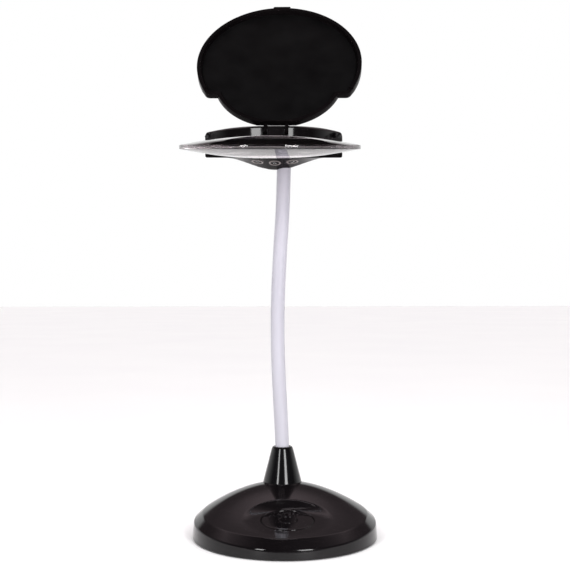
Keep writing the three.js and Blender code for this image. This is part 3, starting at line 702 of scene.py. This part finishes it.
def top_section(angle, pull):
    """Section of the upper half: outer wall, top face, well wall, well floor and lens seat."""
    outer = reach(angle, SHELL_Y, SHELL_R) - pull
    well = reach(angle, WELL_Y, WELL_R) + pull
    view = reach(angle, 0, VIEW_R)
    top = top_z(SHELL_FRONT + outer * math.sin(angle)) - pull
    top_in = top_z(SHELL_FRONT + well * math.sin(angle)) - pull
    near_end = abs(math.cos(angle)) ** 6
    points = [(outer, PARTING + pull), (outer, top), (well, top_in), (well, WELL_FLOOR),
              (view + pull, WELL_FLOOR), (view + pull, SEAT_TOP), (view + SEAT_RUN, SEAT_LOW),
              (view + SEAT_RUN + SEAT_GAP, PARTING + pull)]
    sizes = [0.3, 2.2 + 2.6 * near_end, 0.6, 0.5, 0.5, 0.3, 0, 0.2]
    return rounded(points, sizes, closed=True, steps=5)


def housing_top():
    """Upper half, with a slot for each of the lid's arms."""
    obj = swept_shell("housing_top_shell", top_section, GLOSS)
    for side in (-1, 1):
        left = side * ARM_X - SLOT_WIDTH / 2
        right = side * ARM_X + SLOT_WIDTH / 2
        corners = [(left, SLOT_FRONT), (right, SLOT_FRONT), (right, SLOT_BACK), (left, SLOT_BACK)]
        loops = [[(x, y, z) for x, y in corners] for z in (SLOT_FLOOR, SLOT_TOP)]
        boolean(obj, loops_mesh("slot_cutter", to_head(loops), GLOSS))
    shade(obj, 40)
    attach(obj, "head")
    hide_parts("housing_top")


def underside(x, y):
    """Height of the lower face, with the pod that holds the lamps hanging from it."""
    across = math.cos(math.pi * x / (2 * POD_HALF_WIDTH)) ** 2 if abs(x) < POD_HALF_WIDTH else 0
    back = POD_LOW_Y - y
    along = max(0, 1 - back * POD_SLOPE / POD_DEPTH) if back > 0 else 1 - (back / POD_BACK_RUN) ** 2
    return SHELL_BOTTOM - POD_DEPTH * across * along


def bottom_section(angle, pull):
    """Section of the lower half: outer wall, underside, brow and the slot round the lens's edge."""
    outer = reach(angle, SHELL_Y, SHELL_R) - pull
    brow = reach(angle, BROW_CENTRE_Y, BROW_R) + pull
    c, s = math.cos(angle), math.sin(angle)

    def floor(r):
        """Height of the underside at this distance along the section."""
        return underside(r * c, SHELL_FRONT + r * s) + pull

    def lens_under(r):
        """Height of the housing where it follows the lens's lower face."""
        rho = math.hypot(r * c, SHELL_FRONT + r * s)
        return -LENS_EDGE / 2 - SEAT_GAP - LENS_SAG * max(0, 1 - (rho / LENS_R) ** 2)

    points = [(outer, -PARTING - pull)]
    points += fillet(points[0], (outer, floor(outer)), (outer - 3, floor(outer - 3)), 1.3, 4)
    inside, outside = brow + 0.8, outer - 1.5
    floor_radii = [outside + (inside - outside) * i / 16 for i in range(1, 16)]
    points += [(r, floor(r)) for r in floor_radii]
    points += fillet((brow + 1, floor(brow + 1)), (brow, floor(brow)), (brow, -6), 0.5, 3)
    slot_r = min(outer - 1.2, reach(angle, 0, LENS_R + SEAT_GAP))
    slot_radii = [brow + (slot_r - brow) * i / 8 for i in range(9)]
    points += [(r, lens_under(r) - pull) for r in slot_radii]
    points.append((slot_r + 0.05, -PARTING - pull))
    return points


def housing_bottom():
    """Lower half, with the pod."""
    obj = swept_shell("housing_bottom_shell", bottom_section, DEEP)
    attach(obj, "head")
    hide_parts("housing_bottom")


def lamps():
    """A turned ring and a shallow window for each lamp, square to the pod's face."""
    for i in (1, 2, 3):
        x, y = (i - 2) * LED_PITCH, LED_Y
        slope_x = underside(x + 0.5, y) - underside(x - 0.5, y)
        slope_y = underside(x, y + 0.5) - underside(x, y - 0.5)
        square = Vector((-slope_x, -slope_y, 1)).normalized()
        turn = Vector((0, 0, 1)).rotation_difference(square).to_matrix().to_4x4()
        place = HEAD @ Matrix.Translation((x * MM, y * MM, underside(x, y) * MM)) @ turn
        corners = [(3.0, 1.6), (3.0, 0.3), (3.5, -0.25), (4.3, -0.25), (4.7, 0.1), (4.7, 1.6)]
        profile = rounded(corners, [0, 0.2, 0.2, 0.2, 0.2, 0], closed=True, steps=3)
        bezel = turned(f"lamp_ring_{i}", profile, BEZEL, 64, place, closed=True, smooth_angle=50)
        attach(bezel, "head")
        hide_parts(f"led_bezel_{i}")
        dome = [(0, -0.1), (1, -0.06), (2, 0.05), (2.9, 0.3), (2.9, 1.2), (0, 1.2)]
        window = turned(f"lamp_window_{i}", dome, ACRYLIC, 48, place, smooth_angle=50)
        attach(window, "head")
        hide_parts(f"led_window_{i}")


# ------------------------------------------------------------------ lid
LID_R, LID_TOP, LID_UNDER, LID_RIM_LOW, LID_RIM_WIDTH = 66.6, 13.5, 11.1, 7.4, 3.0
LID_FRONT, LID_REAR_R, LID_REAR_RIM_LOW, LID_BACK_GAP = 35.2, 51.6, 8.6, 6.2
LID_EDGE = 0.45
LINE_INSET = 0.9                # how much of an inset the ears' front line takes up
FRONT_STEPS, REAR_STEPS = 220, 40
EAR_ROUND, EAR_TRIM = 3.2, 6    # size of the ears' fillets, and the arc points that they take up
NOTCH_STEP = 0.02               # radians, from a notch to the next point on the rear arc
STOP_SINE = 0.999               # the most that the rear arc reaches towards its middle
TAB_X, TAB_REACH, TAB_ROUND, TAB_ROOT = 7.2, 1.3, 1.2, 60
ARM_FRONT, ARM_DROP = 59.2, 0.1 # where the arms start, and how far they lie below the lid's top
EYE_R, EYE_BORE = 3.2, 1.35
LINER_INSET, LINER_LOW, LINER_HIGH, LINER_EDGE = 1.2, 0.45, 0.1, 0.1
SKIN = 0.01                     # keeps joined faces off the same plane
CUT_LOW, CUT_X, CUT_BACK = -5, 80, 90   # where the cutters end, outside the lid


def arc(centre_y, radius, start, stop, steps):
    """Points on a circle whose centre is on the middle line."""
    return [(radius * math.cos(start + (stop - start) * i / steps),
             centre_y + radius * math.sin(start + (stop - start) * i / steps))
            for i in range(steps + 1)]


def prism(name, outline, low, high):
    """An outline given a thickness, in the head's millimetres."""
    return loops_mesh(name, [[(x, y, low) for x, y in outline], [(x, y, high) for x, y in outline]],
                      GLOSS, smooth_angle=30)


def lid_outline(inset):
    """The big front arc, two ears, the rear arc and the straight back edge, all moved inwards."""
    front_r, rear_r = LID_R - inset, LID_REAR_R - inset
    line = LID_FRONT - inset * LINE_INSET
    ear = math.asin(line / front_r)
    inner = math.asin((line - WELL_Y) / rear_r)
    back = HINGE_Y - LID_BACK_GAP + inset
    stop = math.asin(min((back - WELL_Y) / rear_r, STOP_SINE))
    front = arc(0, front_r, math.pi - ear, 2 * math.pi + ear, FRONT_STEPS)
    notch = (rear_r * math.cos(inner), line)
    right_ear = fillet(front[-2 * EAR_TRIM], front[-1], notch, EAR_ROUND, 6)
    rear_right = [notch] + arc(WELL_Y, rear_r, inner + NOTCH_STEP, stop, REAR_STEPS)
    rear_left = [(-x, y) for x, y in rear_right[::-1]]
    left_ear = [(-x, y) for x, y in right_ear[::-1]]
    return front[EAR_TRIM:-EAR_TRIM] + right_ear + rear_right + rear_left + left_ear


def on_hinge(name, radius, left, right):
    """A cylinder on the hinge line, in the head's millimetres."""
    place = (Matrix.Scale(1 / MM, 4) @ Matrix.Translation((0, HINGE_Y * MM, HINGE_Z * MM))
             @ Matrix.Rotation(math.pi / 2, 4, "Y"))
    return turned(name, [(radius, left), (radius, right)], GLOSS, 48, place)


def open_lid(obj, material):
    """Turns a piece of the closed lid open about the hinge and moves it to where the head is."""
    opened = math.radians(JOINTS["lid_hinge"]["range_deg"][1])
    swing = (Matrix.Translation((0, HINGE_Y * MM, HINGE_Z * MM)) @ Matrix.Rotation(-opened, 4, "X")
             @ Matrix.Translation((0, -HINGE_Y * MM, -HINGE_Z * MM)))
    obj.data.materials.clear()
    obj.data.materials.append(material)
    obj.data.transform(HEAD @ swing @ Matrix.Scale(MM, 4))
    shade(obj, 35)


def lid_cover():
    """Disc with a turned-down rim, a finger tab, and two arms that turn on the hinge pin."""
    disc = prism("lid_cover_panel", lid_outline(0), LID_RIM_LOW, LID_TOP)
    tab_y = -LID_R - TAB_REACH
    tab = rounded([(-TAB_X, -TAB_ROOT), (-TAB_X, tab_y), (TAB_X, tab_y), (TAB_X, -TAB_ROOT)],
                  [0, TAB_ROUND, TAB_ROUND, 0], steps=4)
    boolean(disc, prism("tab", tab, LID_RIM_LOW + SKIN, LID_TOP - SKIN), "UNION")
    boolean(disc, prism("recess", lid_outline(LID_RIM_WIDTH), CUT_LOW, LID_UNDER))
    room_y = LID_FRONT - 2 * LID_RIM_WIDTH
    rear_room = [(-CUT_X, room_y), (CUT_X, room_y), (CUT_X, CUT_BACK), (-CUT_X, CUT_BACK)]
    boolean(disc, prism("rear_room", rear_room, CUT_LOW, LID_REAR_RIM_LOW))
    for side in (-1, 1):
        left = side * ARM_X - ARM_WIDTH / 2
        right = side * ARM_X + ARM_WIDTH / 2
        arm = [(left, ARM_FRONT), (right, ARM_FRONT), (right, HINGE_Y), (left, HINGE_Y)]
        boolean(disc, prism("arm", arm, LID_UNDER + SKIN, LID_TOP - ARM_DROP), "UNION")
        boolean(disc, on_hinge("eye", EYE_R, left, right), "UNION")
    bevel(disc, LID_EDGE)
    boolean(disc, on_hinge("pin_bore", EYE_BORE, -2 * ARM_X, 2 * ARM_X))
    open_lid(disc, DEEP)
    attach(disc, "lid")
    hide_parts("lid_cover")


def lid_liner():
    """Thin sheet in the lid's recess."""
    liner = prism("lid_liner_sheet", lid_outline(LID_RIM_WIDTH + LINER_INSET),
                  LID_UNDER - LINER_LOW, LID_UNDER - LINER_HIGH)
    bevel(liner, LINER_EDGE)
    open_lid(liner, SATIN)
    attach(liner, "lid")
    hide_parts("lid_liner")


# ------------------------------------------------------------------ floor and light
FLOOR_REACH = 8.0               # metres, from the middle to each side
# The studio's brightness at each height, from 0, straight down, to 1, straight up.
STUDIO = [(0.0, 1.0), (0.65, 1.0), (0.69, 0.12), (0.76, 0.14), (0.80, 0.22), (0.84, 0.48),
          (0.87, 0.85), (0.93, 0.6), (0.98, 0.1)]
WARM = (1, 0.81, 0.86)          # tint of its dimmer parts
FRONT_DARK = (0.05, 0.047, 0.05, 1)   # colour of the half towards the camera


def stage():
    """Plain pale floor."""
    mat, tree, shader, at = new_material("pale_floor", Roughness=0.6)
    tree.links.new(ramp(tree, noise(tree, at, 3, 2), (0.93, 0.93, 0.935, 1), (0.96, 0.96, 0.96, 1)),
                   shader.inputs["Base Color"])
    corners = [(x * FLOOR_REACH, y * FLOOR_REACH, 0) for x, y in ((-1, -1), (1, -1), (1, 1), (-1, 1))]
    floor = make_object("floor", corners, [(0, 1, 2, 3)], mat)


def world_light():
    """Soft studio: dark in front; behind the lamp, white low down with a bright band high up."""
    scene.view_settings.view_transform = "Standard"
    world = bpy.data.worlds.new("studio")
    scene.world = world
    world.use_nodes = True
    tree = world.node_tree
    background = tree.nodes["Background"]
    coords = tree.nodes.new("ShaderNodeTexCoord")
    split = tree.nodes.new("ShaderNodeSeparateXYZ")
    tree.links.new(coords.outputs["Generated"], split.inputs["Vector"])
    behind = spread(tree, split.outputs["Y"], 0.0, 1.0, -0.3, 0.3)
    height = tree.nodes.new("ShaderNodeValToRGB")
    elements = height.color_ramp.elements
    while len(elements) < len(STUDIO):
        elements.new(0.5)
    for element, (position, value) in zip(elements, STUDIO):
        element.position = position
        tint = WARM if value < 1 else (1, 1, 1)
        element.color = (*(value * part for part in tint), 1)
    lift = spread(tree, split.outputs["Z"], 0.0, 1.0, -1.0, 1.0)
    tree.links.new(lift, height.inputs["Fac"])
    both = tree.nodes.new("ShaderNodeMix")
    both.data_type = "RGBA"
    both.inputs["A"].default_value = FRONT_DARK
    tree.links.new(behind, both.inputs["Factor"])
    tree.links.new(height.outputs["Color"], both.inputs["B"])
    tree.links.new(both.outputs["Result"], background.inputs["Color"])
    background.inputs["Strength"].default_value = 1.0


def panel(name, location, target, size, power):
    """A soft box that faces its target; places and sizes are in metres."""
    light = bpy.data.lights.new(name, "AREA")
    light.shape = "RECTANGLE"
    light.size, light.size_y = size
    light.energy = power
    obj = bpy.data.objects.new(name, light)
    scene.collection.objects.link(obj)
    obj.location = location
    obj.rotation_euler = (Vector(target) - Vector(location)).to_track_quat("-Z", "Y").to_euler()


def overhead():
    """A wide diffuser above the table; it lights the floor but isn't mirrored in the polish."""
    light = bpy.data.lights.new("overhead", "SUN")
    light.energy = 2.5
    light.angle = math.radians(100)
    obj = bpy.data.objects.new("overhead", light)
    scene.collection.objects.link(obj)
    obj.visible_glossy = False


finish_cad_nodes()
base_cover()
power_button()
neck_collar()
neck_sleeve()
lens()
housing_top()
housing_bottom()
lamps()
lid_cover()
lid_liner()
stage()
world_light()
panel("left_box", location=(-0.66, -0.99, 0.50), target=(0, 0, 0.1), size=(0.20, 0.7), power=6)
panel("right_box", location=(0.44, -1.12, 0.50), target=(0, 0, 0.1), size=(0.34, 0.7), power=11)
overhead()
